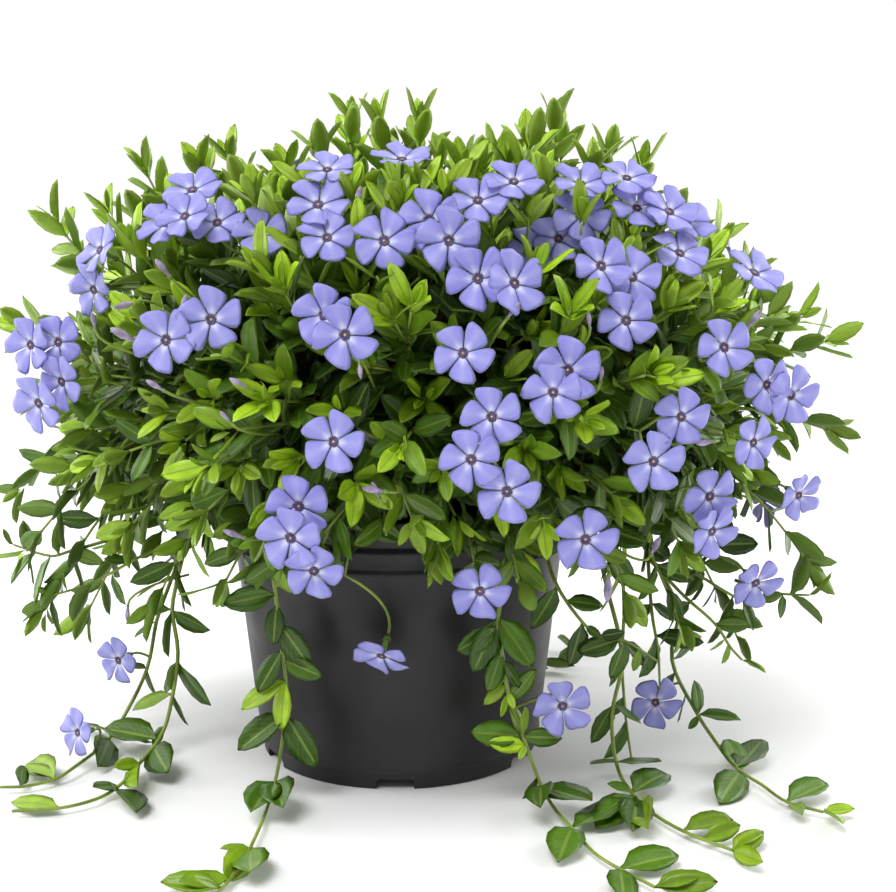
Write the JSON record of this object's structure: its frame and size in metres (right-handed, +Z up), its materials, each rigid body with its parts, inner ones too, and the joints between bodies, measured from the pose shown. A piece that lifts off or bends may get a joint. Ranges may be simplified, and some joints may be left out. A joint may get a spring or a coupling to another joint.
{
  "type": "potted flowering plant",
  "caption": "Low bushy periwinkle with violet-blue blooms and trailing leafy stems, standing in a black tapered plastic nursery pot.",
  "frame": {"origin": "middle of the pot's base, on the surface that the pot stands on", "axes": "+Z up along the pot's axis, +X to the right of the side that is seen in the picture, -Y towards the viewer of that side"},
  "size_m": [0.536, 0.4374, 0.3825],
  "materials": {
    "pot": "satin",
    "soil": "matte",
    "foliage": "satin",
    "trailing": "satin",
    "bloom": "matte"
  },
  "bodies": {
    "root": {"pot": "pot", "soil": "soil", "leafy_clump_1": "foliage", "leafy_clump_2": "foliage", "leafy_clump_3": "foliage", "leafy_clump_4": "foliage", "leafy_clump_5": "foliage", "leafy_clump_6": "foliage", "leafy_clump_7": "foliage", "leafy_clump_middle": "foliage", "trailing_stem_back_left": "trailing", "trailing_stem_back_right": "trailing", "trailing_stem_front_left": "trailing", "trailing_stem_front_right": "trailing", "trailing_stem_left_high": "trailing", "trailing_stem_left_low": "trailing", "trailing_stem_right_far": "trailing", "trailing_stem_right_near": "trailing", "blooms_01": "bloom", "blooms_02": "bloom", "blooms_03": "bloom", "blooms_04": "bloom", "blooms_05": "bloom", "blooms_06": "bloom", "blooms_07": "bloom", "blooms_08": "bloom", "blooms_09": "bloom", "blooms_10": "bloom", "blooms_11": "bloom", "blooms_12": "bloom", "blooms_13": "bloom", "blooms_14": "bloom", "blooms_15": "bloom", "blooms_16": "bloom", "blooms_17": "bloom", "blooms_18": "bloom", "blooms_19": "bloom", "blooms_20": "bloom", "blooms_21": "bloom", "blooms_22": "bloom", "blooms_23": "bloom", "blooms_24": "bloom", "blooms_25": "bloom", "blooms_26": "bloom", "blooms_27": "bloom", "blooms_28": "bloom", "blooms_29": "bloom", "blooms_30": "bloom", "blooms_31": "bloom", "blooms_32": "bloom", "blooms_33": "bloom", "blooms_34": "bloom", "blooms_35": "bloom", "blooms_36": "bloom", "blooms_37": "bloom", "blooms_38": "bloom", "blooms_39": "bloom", "blooms_40": "bloom", "blooms_41": "bloom"}
  },
  "joints": []
}
